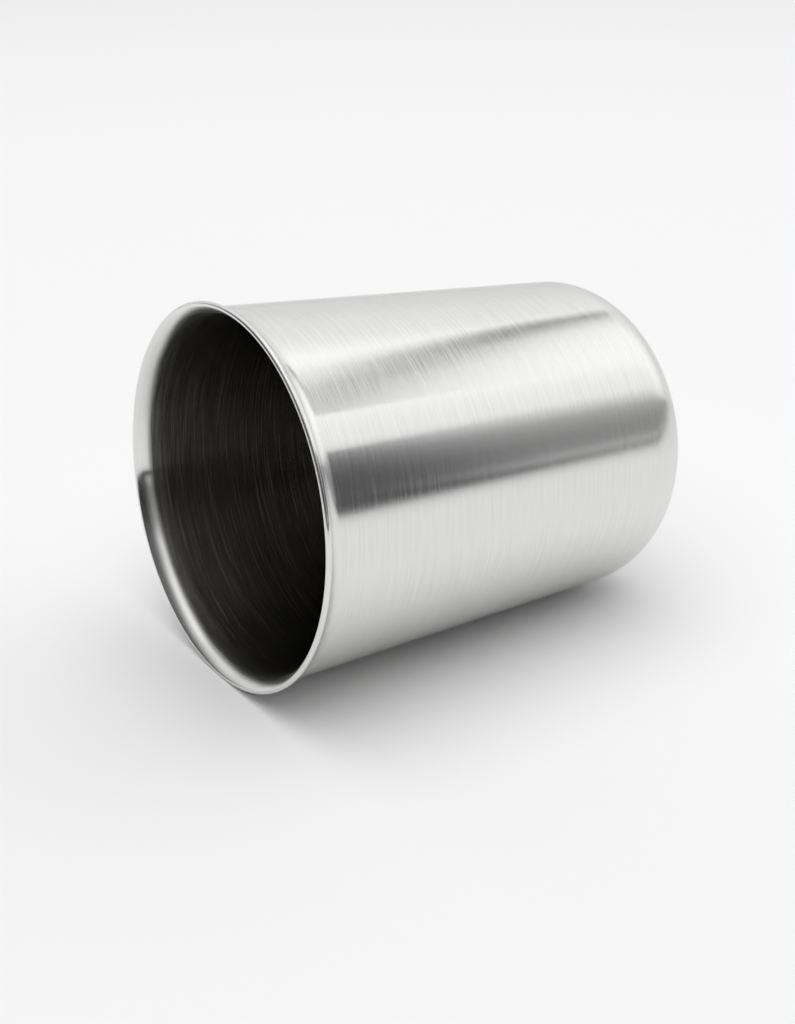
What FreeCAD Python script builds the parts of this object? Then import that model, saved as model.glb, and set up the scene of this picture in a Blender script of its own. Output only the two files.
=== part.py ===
"""Deep drawn stainless steel cup, one shell of one sheet thickness.

The cup is a solid of revolution. It stands on its base with its axis on +Z, and the origin is the
centre of the underside of the base. Lengths are in millimetres.
"""
import FreeCAD, Part
import math
import os

import Sketcher

# Driving dimensions: alias, value, what it measures.
DIMENSIONS = [
    ("cup_height", 100.0, "underside of the base to the top of the lip"),
    ("mouth_diameter", 77.1, "outside of the wall where the flare begins"),
    ("base_diameter", 67.2, "outside of the wall, carried down to the base plane"),
    ("corner_radius", 14.7, "outside radius between the wall and the base"),
    ("flare_radius", 4.4, "outside radius of the trumpet flare under the lip"),
    ("flare_angle", 45.0, "lean of the lip away from the axis, in degrees"),
    ("sheet_thickness", 1.2, "thickness of the drawn sheet, the same all over"),
]

# The solver's numbers for a curve's points and for the sketch's own origin.
START, END, CENTRE = 1, 2, 3
ORIGIN_POINT = (-1, START)


def add_dimension_sheet(doc):
    """Put the driving dimensions in a spreadsheet, one alias for each."""
    sheet = doc.addObject("Spreadsheet::Sheet", "Dimensions")
    for row, (alias, value, meaning) in enumerate(DIMENSIONS, start=1):
        sheet.set(f"A{row}", alias)
        sheet.set(f"B{row}", str(value))
        sheet.set(f"C{row}", meaning)
        sheet.setAlias(f"B{row}", alias)
    doc.recompute()
    return sheet


def origin_plane(body, role):
    """Find one of the body's own origin planes."""
    return next(plane for plane in body.Origin.OriginFeatures if plane.Role == role)


def arc(centre, radius, first_angle, last_angle):
    """Circular arc in the sketch plane, anticlockwise from the first angle to the last."""
    circle = Part.Circle(FreeCAD.Vector(centre[0], centre[1], 0), FreeCAD.Vector(0, 0, 1), radius)
    return Part.ArcOfCircle(circle, first_angle, last_angle)


def line(start, end):
    """Straight edge in the sketch plane."""
    return Part.LineSegment(FreeCAD.Vector(start[0], start[1], 0), FreeCAD.Vector(end[0], end[1], 0))


def on_circle(centre, radius, angle):
    """Point of a circle at an angle from the sketch's horizontal."""
    return (centre[0] + radius * math.cos(angle), centre[1] + radius * math.sin(angle))


def draw_wall_section(sketch, sheet):
    """Draw the cut through one side of the cup and return the curves by name.

    The outline runs out along the underside, up the outside to the lip, round its edge and back down
    the inside. The solver brings this drawing to its exact place.
    """
    thickness = sheet.sheet_thickness
    corner = sheet.corner_radius
    flare = sheet.flare_radius
    lean = math.radians(sheet.flare_angle)
    mouth = sheet.mouth_diameter / 2
    base = sheet.base_diameter / 2

    # Height of the flare's start, and the wall's lean there.
    edge_height = sheet.cup_height - thickness / 2
    root_height = edge_height - (flare + thickness / 2) * math.sin(lean)
    taper = math.atan2(mouth - base, root_height)

    # Arc centres: the corner's lies inside the cup, the flare's outside it.
    corner_centre = (base + corner * math.tan(taper) - corner / math.cos(taper), corner)
    flare_centre = (mouth + flare * math.cos(taper), root_height - flare * math.sin(taper))
    edge_centre = on_circle(flare_centre, flare + thickness / 2, math.pi - lean)

    inner_corner = corner - thickness
    inner_flare = flare + thickness
    wall_foot = on_circle(corner_centre, corner, -taper)
    wall_head = on_circle(flare_centre, flare, math.pi - taper)
    inner_foot = on_circle(corner_centre, inner_corner, -taper)
    inner_head = on_circle(flare_centre, inner_flare, math.pi - taper)

    outline = [
        ("underside", line((0, 0), (corner_centre[0], 0))),
        ("outer_corner", arc(corner_centre, corner, -math.pi / 2, -taper)),
        ("outer_wall", line(wall_foot, wall_head)),
        ("outer_flare", arc(flare_centre, flare, math.pi - lean, math.pi - taper)),
        ("lip_edge", arc(edge_centre, thickness / 2, -lean, math.pi - lean)),
        ("inner_flare", arc(flare_centre, inner_flare, math.pi - lean, math.pi - taper)),
        ("inner_wall", line(inner_head, inner_foot)),
        ("inner_corner", arc(corner_centre, inner_corner, -math.pi / 2, -taper)),
        ("inner_floor", line((corner_centre[0], thickness), (0, thickness))),
        ("axis_edge", line((0, thickness), (0, 0))),
    ]
    guides = [
        ("base_point", Part.Point(FreeCAD.Vector(base, 0, 0))),
        ("lip_normal", line(flare_centre, on_circle(flare_centre, inner_flare, math.pi - lean))),
    ]
    curves = {name: sketch.addGeometry(curve, False) for name, curve in outline}
    curves.update({name: sketch.addGeometry(curve, True) for name, curve in guides})
    return curves


def tie_wall_section(sketch, curve):
    """Join the curves end to end, smoothly wherever the sheet bends."""
    def tie(kind, *places):
        sketch.addConstraint(Sketcher.Constraint(kind, *places))

    # The base, closed on the axis.
    tie("Coincident", curve["underside"], START, *ORIGIN_POINT)
    tie("Horizontal", curve["underside"])
    tie("Horizontal", curve["inner_floor"])
    tie("Coincident", curve["inner_floor"], END, curve["axis_edge"], START)
    tie("Coincident", curve["axis_edge"], END, curve["underside"], START)
    tie("Vertical", curve["axis_edge"])

    # The outside, from the base to the flare.
    tie("Tangent", curve["underside"], END, curve["outer_corner"], START)
    tie("Tangent", curve["outer_corner"], END, curve["outer_wall"], START)
    tie("Tangent", curve["outer_wall"], END, curve["outer_flare"], END)

    # The inside follows the outside at one sheet thickness.
    tie("Tangent", curve["inner_floor"], START, curve["inner_corner"], START)
    tie("Tangent", curve["inner_corner"], END, curve["inner_wall"], END)
    tie("Tangent", curve["inner_wall"], START, curve["inner_flare"], END)
    tie("Coincident", curve["inner_corner"], CENTRE, curve["outer_corner"], CENTRE)
    tie("Coincident", curve["inner_flare"], CENTRE, curve["outer_flare"], CENTRE)
    tie("Parallel", curve["inner_wall"], curve["outer_wall"])

    # The edge of the lip is a full round from the outer face to the inner one.
    tie("Tangent", curve["outer_flare"], START, curve["lip_edge"], START)
    tie("Tangent", curve["lip_edge"], END, curve["inner_flare"], START)

    # Guides: the wall aims at the base point, and the lip's lean is read on a normal to it.
    tie("PointOnObject", curve["base_point"], START, curve["underside"])
    tie("PointOnObject", curve["base_point"], START, curve["outer_wall"])
    tie("Coincident", curve["lip_normal"], START, curve["outer_flare"], CENTRE)
    tie("Coincident", curve["lip_normal"], END, curve["inner_flare"], START)


def size_wall_section(sketch, sheet, curve):
    """Give the section its dimensions, each bound to the spreadsheet."""
    sizes = [
        ("thickness", ("DistanceY", curve["underside"], START, curve["inner_floor"], END),
         sheet.sheet_thickness, "Dimensions.sheet_thickness"),
        ("corner", ("Radius", curve["outer_corner"]),
         sheet.corner_radius, "Dimensions.corner_radius"),
        ("flare", ("Radius", curve["outer_flare"]),
         sheet.flare_radius, "Dimensions.flare_radius"),
        ("base", ("DistanceX", *ORIGIN_POINT, curve["base_point"], START),
         sheet.base_diameter / 2, "Dimensions.base_diameter / 2"),
        ("mouth", ("DistanceX", *ORIGIN_POINT, curve["outer_wall"], END),
         sheet.mouth_diameter / 2, "Dimensions.mouth_diameter / 2"),
        ("height", ("DistanceY", *ORIGIN_POINT, curve["lip_edge"], CENTRE),
         sheet.cup_height - sheet.sheet_thickness / 2,
         "Dimensions.cup_height - Dimensions.sheet_thickness / 2"),
        ("lean", ("Angle", curve["lip_normal"]),
         math.pi - math.radians(sheet.flare_angle), "180 deg - Dimensions.flare_angle * 1 deg"),
    ]
    for name, place, value, expression in sizes:
        number = sketch.addConstraint(Sketcher.Constraint(*place, value))
        sketch.renameConstraint(number, name)
        sketch.setExpression(f"Constraints.{name}", expression)


def add_cup(doc, sheet):
    """Turn the wall section once round the axis into the whole shell."""
    body = doc.addObject("PartDesign::Body", "Cup")
    body.Label = "cup"

    section = body.newObject("Sketcher::SketchObject", "WallSection")
    section.AttachmentSupport = (origin_plane(body, "XZ_Plane"), "")
    section.MapMode = "FlatFace"
    curve = draw_wall_section(section, sheet)
    tie_wall_section(section, curve)
    size_wall_section(section, sheet, curve)
    doc.recompute()

    shell = body.newObject("PartDesign::Revolution", "DrawnShell")
    shell.Profile = section
    shell.ReferenceAxis = (section, ["V_Axis"])
    shell.Angle = 360
    section.Visibility = False
    doc.recompute()
    return body


def check_model(doc, bodies):
    """Stop if anything failed to build."""
    for item in doc.Objects:
        if "Invalid" in item.State or "Error" in item.State:
            raise RuntimeError(f"{item.Label} did not build: {item.State}")
    for body in bodies:
        if body.Shape.isNull() or not body.Shape.isValid() or len(body.Shape.Solids) != 1:
            raise RuntimeError(f"{body.Label} is not one valid solid")


def write_parts(bodies):
    """Write one STEP file for each body, named by its label."""
    os.makedirs("parts", exist_ok=True)
    for body in bodies:
        body.Shape.exportStep(f"parts/{body.Label}.step")


document = FreeCAD.newDocument("DrawnCup")
dimension_sheet = add_dimension_sheet(document)
cup = add_cup(document, dimension_sheet)
document.recompute()
check_model(document, [cup])
write_parts([cup])
box = cup.Shape.optimalBoundingBox()
print(f"cup: {2 * box.XMax:.2f} mm across the lip, {box.ZMax:.2f} mm high, {cup.Shape.Volume:.0f} mm3")
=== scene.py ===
import math

import bmesh
import bpy
from mathutils import Matrix, Vector


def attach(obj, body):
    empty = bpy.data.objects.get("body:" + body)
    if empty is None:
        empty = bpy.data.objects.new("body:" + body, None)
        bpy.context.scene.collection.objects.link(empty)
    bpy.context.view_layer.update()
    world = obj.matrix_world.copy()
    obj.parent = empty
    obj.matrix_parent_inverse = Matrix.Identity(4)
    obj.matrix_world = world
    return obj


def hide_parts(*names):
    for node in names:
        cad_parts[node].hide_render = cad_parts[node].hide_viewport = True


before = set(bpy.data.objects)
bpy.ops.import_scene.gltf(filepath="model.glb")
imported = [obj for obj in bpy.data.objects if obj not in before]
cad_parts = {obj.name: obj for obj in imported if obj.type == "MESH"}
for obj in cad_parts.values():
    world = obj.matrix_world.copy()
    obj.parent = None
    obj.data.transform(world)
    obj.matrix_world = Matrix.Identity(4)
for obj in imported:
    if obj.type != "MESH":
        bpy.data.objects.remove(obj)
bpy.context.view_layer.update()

# ---------------------------------------------------------------------------
# The cup: one drawn piece of stainless sheet. A disc is drawn down over a
# punch into a slightly tapered cup with a large bottom corner, the mouth is
# flared like a trumpet, and the trimmed edge of the sheet is rounded over.
# ---------------------------------------------------------------------------
HEIGHT = 0.1000
MOUTH_RADIUS = 0.03855
BASE_RADIUS = 0.0336
CORNER_RADIUS = 0.0147
FLARE_RADIUS = 0.0044
FLARE_LEAN = math.radians(45.0)
SHEET = 0.0012

# The lean of the wall and the height where the flare begins settle together.
edge_up = FLARE_RADIUS + SHEET / 2
wall_lean = 0.05
for settle in range(6):
    root_height = (HEIGHT - SHEET / 2 - edge_up * math.sin(FLARE_LEAN)
                   + FLARE_RADIUS * math.sin(wall_lean))
    wall_lean = math.atan2(MOUTH_RADIUS - BASE_RADIUS, root_height)
corner_centre = Vector((
    BASE_RADIUS + CORNER_RADIUS * (math.tan(wall_lean) - 1 / math.cos(wall_lean)),
    0.0,
    CORNER_RADIUS,
))
flare_centre = Vector((
    MOUTH_RADIUS + FLARE_RADIUS * math.cos(wall_lean),
    0.0,
    root_height - FLARE_RADIUS * math.sin(wall_lean),
))
edge_centre = flare_centre + edge_up * Vector((
    -math.cos(FLARE_LEAN), 0.0, math.sin(FLARE_LEAN)))

# The line of the sheet's surface is drawn by one vertex that travels along it.
section = bmesh.new()


def run_sheet(tip, to, steps):
    """Carry the line of the sheet's surface straight on to a point."""
    start = tip.co.copy()
    for step in range(1, steps + 1):
        made = bmesh.ops.extrude_vert_indiv(section, verts=[tip])
        tip = made["verts"][0]
        tip.co = start.lerp(to, step / steps)
    return tip


def bend_sheet(tip, centre, turn, steps):
    """Carry the line round a bend; a positive turn goes up and inwards."""
    made = bmesh.ops.spin(
        section, geom=[tip], cent=centre, axis=(0.0, -1.0, 0.0), dvec=(0.0, 0.0, 0.0),
        angle=turn, steps=steps, use_merge=False, use_duplicate=False,
    )
    return next(item for item in made["geom_last"] if isinstance(item, bmesh.types.BMVert))


# Outside, from the middle of the base out, up the wall and over the edge.
corner_turn = math.pi / 2 - wall_lean
flare_turn = FLARE_LEAN - wall_lean
wall_way = Vector((math.sin(wall_lean), 0.0, math.cos(wall_lean)))
wall_out = Vector((math.cos(wall_lean), 0.0, -math.sin(wall_lean)))
tip = section.verts.new((0.0, 0.0, 0.0))
tip = run_sheet(tip, Vector((corner_centre.x, 0.0, 0.0)), 6)
tip = bend_sheet(tip, corner_centre, corner_turn, 40)
tip = run_sheet(tip, flare_centre - FLARE_RADIUS * wall_out, 24)
tip = bend_sheet(tip, flare_centre, -flare_turn, 20)
tip = bend_sheet(tip, edge_centre, math.pi, 14)
# Inside, back down the flare and the wall and in to the middle.
tip = bend_sheet(tip, flare_centre, flare_turn, 24)
tip = run_sheet(tip, corner_centre + (CORNER_RADIUS - SHEET) * wall_out, 24)
tip = bend_sheet(tip, corner_centre, -corner_turn, 36)
tip = run_sheet(tip, Vector((0.0, 0.0, SHEET)), 6)

# One full turn of that line makes the closed shell.
bmesh.ops.spin(
    section, geom=section.verts[:] + section.edges[:], cent=(0.0, 0.0, 0.0),
    axis=(0.0, 0.0, 1.0), dvec=(0.0, 0.0, 0.0), angle=2 * math.pi, steps=288,
    use_merge=True, use_duplicate=False,
)
bmesh.ops.remove_doubles(section, verts=section.verts[:], dist=1e-6)
bmesh.ops.recalc_face_normals(section, faces=section.faces[:])
for face in section.faces:
    face.smooth = True
cup_mesh = bpy.data.meshes.new("drawn_cup")
section.to_mesh(cup_mesh)
section.free()
cup = bpy.data.objects.new("drawn_cup", cup_mesh)
bpy.context.scene.collection.objects.link(cup)

# Stainless sheet brushed round the cup: the grain runs round the axis, fine
# across and long along, so a light draws out along the cup and not round it.
steel = bpy.data.materials.new("brushed_steel")
steel.use_nodes = True
grain = steel.node_tree
metal = grain.nodes["Principled BSDF"]
metal.inputs["Metallic"].default_value = 1.0
metal.inputs["Anisotropic"].default_value = 1.0
metal.inputs["Anisotropic Rotation"].default_value = 0.25
lay = grain.nodes.new("ShaderNodeTangent")
lay.direction_type = "RADIAL"
lay.axis = "Z"
grain.links.new(lay.outputs["Tangent"], metal.inputs["Tangent"])

# The grain is read at x, y and the distance up plus the distance out, so that
# its streaks run round the wall, the corner and the flat of the base alike.
place = grain.nodes.new("ShaderNodeTexCoord")
parts = grain.nodes.new("ShaderNodeSeparateXYZ")
grain.links.new(place.outputs["Object"], parts.inputs[0])
flat = grain.nodes.new("ShaderNodeVectorMath")
flat.operation = "MULTIPLY"
flat.inputs[1].default_value = (1.0, 1.0, 0.0)
grain.links.new(place.outputs["Object"], flat.inputs[0])
out = grain.nodes.new("ShaderNodeVectorMath")
out.operation = "LENGTH"
grain.links.new(flat.outputs[0], out.inputs[0])
along = grain.nodes.new("ShaderNodeMath")
along.operation = "ADD"
grain.links.new(parts.outputs["Z"], along.inputs[0])
grain.links.new(out.outputs["Value"], along.inputs[1])
across = grain.nodes.new("ShaderNodeCombineXYZ")
grain.links.new(parts.outputs["X"], across.inputs["X"])
grain.links.new(parts.outputs["Y"], across.inputs["Y"])
grain.links.new(along.outputs[0], across.inputs["Z"])


def streaks(long_way, fine_way, detail):
    """Noise drawn out round the cup; both ways are in streaks to the metre."""
    scale = grain.nodes.new("ShaderNodeVectorMath")
    scale.operation = "MULTIPLY"
    scale.inputs[1].default_value = (long_way, long_way, fine_way)
    grain.links.new(across.outputs[0], scale.inputs[0])
    noise = grain.nodes.new("ShaderNodeTexNoise")
    noise.inputs["Scale"].default_value = 1.0
    noise.inputs["Detail"].default_value = detail
    noise.inputs["Roughness"].default_value = 0.6
    grain.links.new(scale.outputs[0], noise.inputs["Vector"])
    return noise.outputs[0]


def blend_colours(amount, low, high, from_value, to_value):
    """A colour between two greys, by how strong the streaks are."""
    ramp = grain.nodes.new("ShaderNodeValToRGB")
    ramp.color_ramp.elements[0].position = from_value
    ramp.color_ramp.elements[0].color = (*low, 1.0)
    ramp.color_ramp.elements[1].position = to_value
    ramp.color_ramp.elements[1].color = (*high, 1.0)
    grain.links.new(amount, ramp.inputs[0])
    return ramp.outputs[0]


fine = streaks(80.0, 7500.0, 3.0)
coarse = streaks(40.0, 1500.0, 2.0)
tone = grain.nodes.new("ShaderNodeMix")
tone.data_type = "RGBA"
tone.blend_type = "MULTIPLY"
tone.inputs[0].default_value = 1.0
grain.links.new(
    blend_colours(fine, (0.70, 0.70, 0.695), (0.82, 0.82, 0.81), 0.3, 0.7), tone.inputs[6])
grain.links.new(
    blend_colours(coarse, (0.975, 0.975, 0.975), (1.0, 1.0, 1.0), 0.35, 0.65), tone.inputs[7])
gloss = grain.nodes.new("ShaderNodeMapRange")
gloss.inputs["From Min"].default_value = 0.3
gloss.inputs["From Max"].default_value = 0.7
gloss.inputs["To Min"].default_value = 0.14
gloss.inputs["To Max"].default_value = 0.23
grain.links.new(fine, gloss.inputs["Value"])
grain.links.new(gloss.outputs[0], metal.inputs["Roughness"])
scratch = grain.nodes.new("ShaderNodeBump")
scratch.inputs["Strength"].default_value = 0.12
scratch.inputs["Distance"].default_value = 0.00002
grain.links.new(fine, scratch.inputs["Height"])
grain.links.new(scratch.outputs[0], metal.inputs["Normal"])

# Painted shade: the inside is tinted darker than the outside, by as much as
# makes it render as dark as the real one looks. Why that one is dark isn't
# known, so under another light this painted shade may be too strong. It fades
# out at the flare's foot.
PAINTED_SHADE_TOP = root_height + 0.0012
PAINTED_SHADE_FADE = 0.0030
skin = cup_mesh.attributes.new("inside_shade_weight", "FLOAT", "POINT")
for spot, normal in zip(cup_mesh.vertices, cup_mesh.vertex_normals):
    inward = normal.vector.x * spot.co.x + normal.vector.y * spot.co.y < -1e-9
    floor_of_cup = normal.vector.z > 0.5 and spot.co.z < CORNER_RADIUS
    depth = (PAINTED_SHADE_TOP - spot.co.z) / PAINTED_SHADE_FADE
    skin.data[spot.index].value = (
        max(0.0, min(1.0, depth)) if inward or floor_of_cup else 0.0)
# Painted shade: this mask darkens the colour of the inside in streaks.
inside_shade_mask = grain.nodes.new("ShaderNodeAttribute")
inside_shade_mask.attribute_name = "inside_shade_weight"
painted_inside_shade = grain.nodes.new("ShaderNodeMix")
painted_inside_shade.data_type = "RGBA"
painted_inside_shade.blend_type = "MULTIPLY"
grain.links.new(
    blend_colours(streaks(45.0, 2600.0, 3.0), (0.44, 0.425, 0.405), (1.0, 0.98, 0.95),
                  0.54, 0.72),
    painted_inside_shade.inputs[7])
grain.links.new(inside_shade_mask.outputs["Fac"], painted_inside_shade.inputs[0])
grain.links.new(tone.outputs[2], painted_inside_shade.inputs[6])
grain.links.new(painted_inside_shade.outputs[2], metal.inputs["Base Color"])
cup_mesh.materials.append(steel)

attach(cup, "root")
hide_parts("cup")

# ---------------------------------------------------------------------------
# The floor: a pale sheet that the cup lies on, touching the lip and the
# bottom corner. It is one-sided, so the cup is also seen from behind it.
# ---------------------------------------------------------------------------
REST_LEAN = math.radians(3.809)
REST_SIDE = math.radians(135.0)
floor_up = -Vector((
    math.cos(REST_LEAN) * math.cos(REST_SIDE),
    math.cos(REST_LEAN) * math.sin(REST_SIDE),
    -math.sin(REST_LEAN),
))
floor_drop = (corner_centre.x * math.cos(REST_LEAN)
              - corner_centre.z * math.sin(REST_LEAN) + CORNER_RADIUS)
mouth_way = (Vector((0.0, 0.0, 1.0)) - floor_up.z * floor_up).normalized()
front_way = floor_up.cross(mouth_way)
sheet = bmesh.new()
bmesh.ops.create_grid(sheet, x_segments=1, y_segments=1, size=4.0)
bmesh.ops.transform(
    sheet, verts=sheet.verts[:],
    matrix=Matrix.Translation(-floor_drop * floor_up)
    @ Matrix((mouth_way, front_way, floor_up)).transposed().to_4x4(),
)
floor_mesh = bpy.data.meshes.new("floor")
sheet.to_mesh(floor_mesh)
sheet.free()
floor = bpy.data.objects.new("floor", floor_mesh)
bpy.context.scene.collection.objects.link(floor)

paper = bpy.data.materials.new("pale_paper")
paper.use_nodes = True
wires = paper.node_tree
wires.nodes.clear()
face_on = wires.nodes.new("ShaderNodeBsdfDiffuse")
clear = wires.nodes.new("ShaderNodeBsdfTransparent")
side = wires.nodes.new("ShaderNodeNewGeometry")
pick = wires.nodes.new("ShaderNodeMixShader")
shown = wires.nodes.new("ShaderNodeOutputMaterial")
# Painted light: the paper's colour is lighter near the cup and darker far off. This stands in
# for the lamp's light falling off with distance.
spot_on = wires.nodes.new("ShaderNodeTexCoord")
far_off = wires.nodes.new("ShaderNodeVectorMath")
far_off.operation = "LENGTH"
wires.links.new(spot_on.outputs["Object"], far_off.inputs[0])
painted_light_falloff = wires.nodes.new("ShaderNodeMapRange")
painted_light_falloff.interpolation_type = "SMOOTHSTEP"
painted_light_falloff.inputs["From Min"].default_value = 0.25
painted_light_falloff.inputs["From Max"].default_value = 1.30
painted_light_falloff.inputs["To Min"].default_value = 0.88
painted_light_falloff.inputs["To Max"].default_value = 0.75
wires.links.new(far_off.outputs["Value"], painted_light_falloff.inputs["Value"])
wires.links.new(painted_light_falloff.outputs[0], face_on.inputs["Color"])
wires.links.new(side.outputs["Backfacing"], pick.inputs[0])
wires.links.new(face_on.outputs[0], pick.inputs[1])
wires.links.new(clear.outputs[0], pick.inputs[2])
wires.links.new(pick.outputs[0], shown.inputs["Surface"])
floor_mesh.materials.append(paper)

# ---------------------------------------------------------------------------
# The light: a white tent round the cup, brighter overhead, with a dark gap
# low on the front side and a dark room beyond the mouth. The camera sees a
# plain pale backdrop in its place.
# ---------------------------------------------------------------------------
world = bpy.data.worlds.new("studio")
bpy.context.scene.world = world
world.use_nodes = True
tent = world.node_tree
tent.nodes.clear()
ray = tent.nodes.new("ShaderNodeTexCoord")


def part_along(way):
    """How far the light's direction goes one way, from -1 to 1."""
    dot = tent.nodes.new("ShaderNodeVectorMath")
    dot.operation = "DOT_PRODUCT"
    tent.links.new(ray.outputs["Generated"], dot.inputs[0])
    dot.inputs[1].default_value = way
    return dot.outputs["Value"]


turn = tent.nodes.new("ShaderNodeMath")
turn.operation = "ARCTAN2"
tent.links.new(part_along(floor_up), turn.inputs[0])
tent.links.new(part_along(front_way), turn.inputs[1])
share = tent.nodes.new("ShaderNodeMath")
share.operation = "MULTIPLY"
share.inputs[1].default_value = 1 / math.pi
tent.links.new(turn.outputs[0], share.inputs[0])
# Shares of a half turn over the cup, from the front (0) to the back (1), and
# the light there, tuned until the wall's bands fall as on the real cup.
TENT_LIGHT = [
    (0.00, 0.04), (0.010, 0.08), (0.022, 0.62), (0.035, 0.56), (0.055, 0.34),
    (0.10, 0.34), (0.15, 0.44), (0.18, 0.54), (0.21, 0.78), (0.25, 1.08),
    (0.32, 1.12), (0.40, 1.32), (0.60, 1.34), (0.68, 1.05), (0.80, 1.00),
    (0.88, 0.86), (1.00, 0.84),
]
cloth = tent.nodes.new("ShaderNodeValToRGB")
cloth.color_ramp.interpolation = "LINEAR"
while len(cloth.color_ramp.elements) < len(TENT_LIGHT):
    cloth.color_ramp.elements.new(0.5)
for stop, (way_over, level) in zip(cloth.color_ramp.elements, TENT_LIGHT):
    stop.position = way_over
    stop.color = (level, level, level, 1.0)
tent.links.new(share.outputs[0], cloth.inputs[0])
glow = tent.nodes.new("ShaderNodeBackground")
tent.links.new(cloth.outputs[0], glow.inputs["Color"])
# The room beyond the mouth is dark, which is what the inside reflects.
room = tent.nodes.new("ShaderNodeMapRange")
room.interpolation_type = "SMOOTHSTEP"
room.inputs["From Min"].default_value = 0.18
room.inputs["From Max"].default_value = 0.60
room.inputs["To Min"].default_value = 1.0
room.inputs["To Max"].default_value = 0.09
tent.links.new(part_along(mouth_way), room.inputs["Value"])
# The paper takes less of its light from the tent and more from the lamp.
seen = tent.nodes.new("ShaderNodeLightPath")
lowered = tent.nodes.new("ShaderNodeMath")
lowered.operation = "MULTIPLY_ADD"
lowered.inputs[1].default_value = -0.4
lowered.inputs[2].default_value = 1.0
tent.links.new(seen.outputs["Is Diffuse Ray"], lowered.inputs[0])
strength = tent.nodes.new("ShaderNodeMath")
strength.operation = "MULTIPLY"
tent.links.new(room.outputs[0], strength.inputs[0])
tent.links.new(lowered.outputs[0], strength.inputs[1])
tent.links.new(strength.outputs[0], glow.inputs["Strength"])
backdrop = tent.nodes.new("ShaderNodeBackground")
backdrop.inputs["Color"].default_value = (0.80, 0.80, 0.80, 1.0)
choose = tent.nodes.new("ShaderNodeMixShader")
sky = tent.nodes.new("ShaderNodeOutputWorld")
tent.links.new(seen.outputs["Is Camera Ray"], choose.inputs[0])
tent.links.new(glow.outputs[0], choose.inputs[1])
tent.links.new(backdrop.outputs[0], choose.inputs[2])
tent.links.new(choose.outputs[0], sky.inputs["Surface"])

# A very wide soft lamp overhead lights the paper evenly.
wide_light = bpy.data.lights.new("wide_lamp", "SUN")
wide_light.angle = math.radians(75.0)
wide_light.energy = 1.72
wide_lamp = bpy.data.objects.new("wide_lamp", wide_light)
lamp_way = (floor_up + 0.12 * front_way + 0.25 * mouth_way).normalized()
wide_lamp.rotation_mode = "QUATERNION"
wide_lamp.rotation_quaternion = lamp_way.to_track_quat("Z", "Y")
wide_lamp.visible_glossy = False
wide_lamp.visible_camera = False
bpy.context.scene.collection.objects.link(wide_lamp)

# The tent's seam runs aslant over the cup and shows as a grey streak in it.
# Its line is in metres to the front and towards the mouth, over the floor.
SEAM_LINE = [(-0.100, -0.225), (-0.055, -0.176), (-0.011, -0.134), (0.045, -0.100),
             (0.120, -0.075)]
SEAM_WIDTH = 0.050
SEAM_HEIGHT = 0.250
seam_line = [
    front * front_way + along_cup * mouth_way + (SEAM_HEIGHT - floor_drop) * floor_up
    for front, along_cup in SEAM_LINE
]
seam_cloth = bmesh.new()
tip = seam_cloth.verts.new(seam_line[0])
for spot in seam_line[1:]:
    made = bmesh.ops.extrude_vert_indiv(seam_cloth, verts=[tip])
    tip = made["verts"][0]
    tip.co = spot
grown = bmesh.ops.extrude_edge_only(seam_cloth, edges=seam_cloth.edges[:])
bmesh.ops.translate(
    seam_cloth, vec=SEAM_WIDTH * mouth_way,
    verts=[item for item in grown["geom"] if isinstance(item, bmesh.types.BMVert)],
)
seam_mesh = bpy.data.meshes.new("tent_seam")
seam_cloth.to_mesh(seam_mesh)
seam_cloth.free()
tent_seam = bpy.data.objects.new("tent_seam", seam_mesh)
bpy.context.scene.collection.objects.link(tent_seam)
tent_seam.visible_camera = False
tent_seam.visible_diffuse = False
tent_seam.visible_shadow = False
black_tape = bpy.data.materials.new("black_tape")
black_tape.use_nodes = True
black_tape.node_tree.nodes["Principled BSDF"].inputs["Base Color"].default_value = (
    0.03, 0.03, 0.035, 1.0)
seam_mesh.materials.append(black_tape)

# A black flag stands low in front, off the mouth, and darkens that end.
FLAG_SPAN = 0.110
FLAG_AWAY = 0.150
FLAG_SHIFT = 0.014
FLAG_LIFT = 0.048
flag_cloth = bmesh.new()
bmesh.ops.create_grid(flag_cloth, x_segments=1, y_segments=1, size=FLAG_SPAN / 2)
bmesh.ops.transform(
    flag_cloth, verts=flag_cloth.verts[:],
    matrix=Matrix.Translation(
        FLAG_AWAY * front_way + FLAG_SHIFT * mouth_way
        + (FLAG_SPAN / 2 + FLAG_LIFT - floor_drop) * floor_up)
    @ Matrix((floor_up, mouth_way, front_way)).transposed().to_4x4(),
)
flag_mesh = bpy.data.meshes.new("black_flag")
flag_cloth.to_mesh(flag_mesh)
flag_cloth.free()
black_flag = bpy.data.objects.new("black_flag", flag_mesh)
bpy.context.scene.collection.objects.link(black_flag)
black_flag.visible_camera = False
black_flag.visible_diffuse = False
black_flag.visible_shadow = False
flag_mesh.materials.append(black_tape)

# ---------------------------------------------------------------------------
# The camera: low over the floor, on the mouth's side, upright to the floor.
# ---------------------------------------------------------------------------
EYE = Vector((-0.10525, -0.30498, 0.26390))
AIM = Vector((-0.00926, 0.00319, 0.05954))
look = (AIM - EYE).normalized()
right = look.cross(floor_up).normalized()
lens = bpy.data.cameras.new("camera")
lens.lens = 63.04
lens.clip_start = 0.01
lens.clip_end = 20.0
camera = bpy.data.objects.new("camera", lens)
camera.matrix_world = (Matrix.Translation(EYE)
                       @ Matrix((right, right.cross(look), -look)).transposed().to_4x4())
bpy.context.scene.collection.objects.link(camera)
bpy.context.scene.camera = camera
bpy.context.scene.view_settings.view_transform = "Standard"
